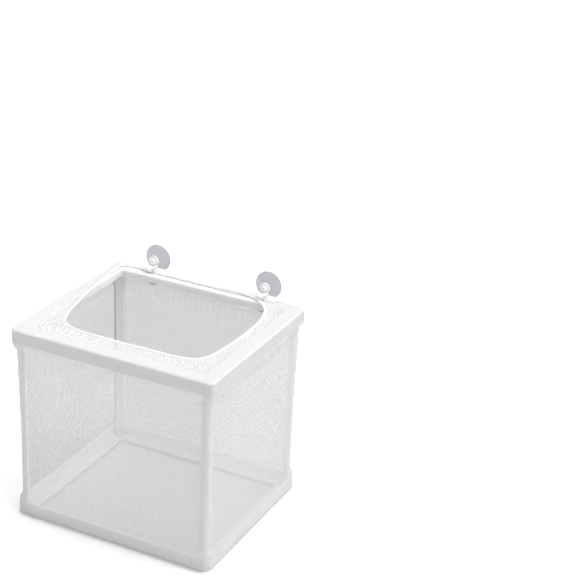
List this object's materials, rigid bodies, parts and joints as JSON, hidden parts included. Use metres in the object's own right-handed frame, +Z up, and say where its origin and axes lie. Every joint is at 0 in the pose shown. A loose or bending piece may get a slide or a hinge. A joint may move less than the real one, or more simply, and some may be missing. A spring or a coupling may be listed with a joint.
{
  "type": "fish breeding box",
  "caption": "Net breeding box for aquarium fish: a white plastic frame in a fine net bag with an elastic top, hung by suction cups on sliding clear hangers.",
  "frame": {"origin": "centre of the underside of the net floor, at the surface the box stands on", "axes": "+Z up, +Y towards the tank glass that the suction cups hold, +X to the right seen from the front"},
  "size_m": [0.1604, 0.1472, 0.165],
  "materials": {
    "frame_plastic": "satin moulded white",
    "post_plastic": "satin moulded white",
    "net": "fine knitted white nylon net",
    "hem": "rolled net hem",
    "elastic": "matt round elastic",
    "thread": "white sewing thread",
    "clear_plastic": "clear, polished",
    "cup_vinyl": "clear soft vinyl, glossy"
  },
  "bodies": {
    "box": {"top_rim": "frame_plastic", "bottom_ring": "frame_plastic", "front_left_post": "post_plastic", "front_right_post": "post_plastic", "rear_right_post": "post_plastic", "rear_left_post": "post_plastic", "net_front": "net", "net_right": "net", "net_rear": "net", "net_left": "net", "net_floor": "net", "net_collar": "net", "elastic_hem": "hem", "elastic_cord": "elastic", "elastic_knot": "thread", "thread_tail": "thread", "corner_seam": "thread", "floor_seam": "thread"},
    "left_hanger": {"left_hanger": "clear_plastic"},
    "right_hanger": {"right_hanger": "clear_plastic"},
    "left_cup": {"left_suction_cup": "cup_vinyl"},
    "right_cup": {"right_suction_cup": "cup_vinyl"}
  },
  "joints": [
    {"name": "left_hanger_slide", "type": "slide", "parent": "box", "child": "left_hanger", "axis": [1, 0, 0], "range_m": [-0.018, 0.036]},
    {"name": "right_hanger_slide", "type": "slide", "parent": "box", "child": "right_hanger", "axis": [1, 0, 0], "range_m": [-0.032, 0.022]},
    {"name": "left_cup_swivel", "type": "hinge", "parent": "left_hanger", "child": "left_cup", "pos_m": [-0.0485, 0.0708, 0.1545], "axis": [0, 1, 0], "continuous": true},
    {"name": "right_cup_swivel", "type": "hinge", "parent": "right_hanger", "child": "right_cup", "pos_m": [0.045, 0.0708, 0.1545], "axis": [0, 1, 0], "continuous": true}
  ]
}
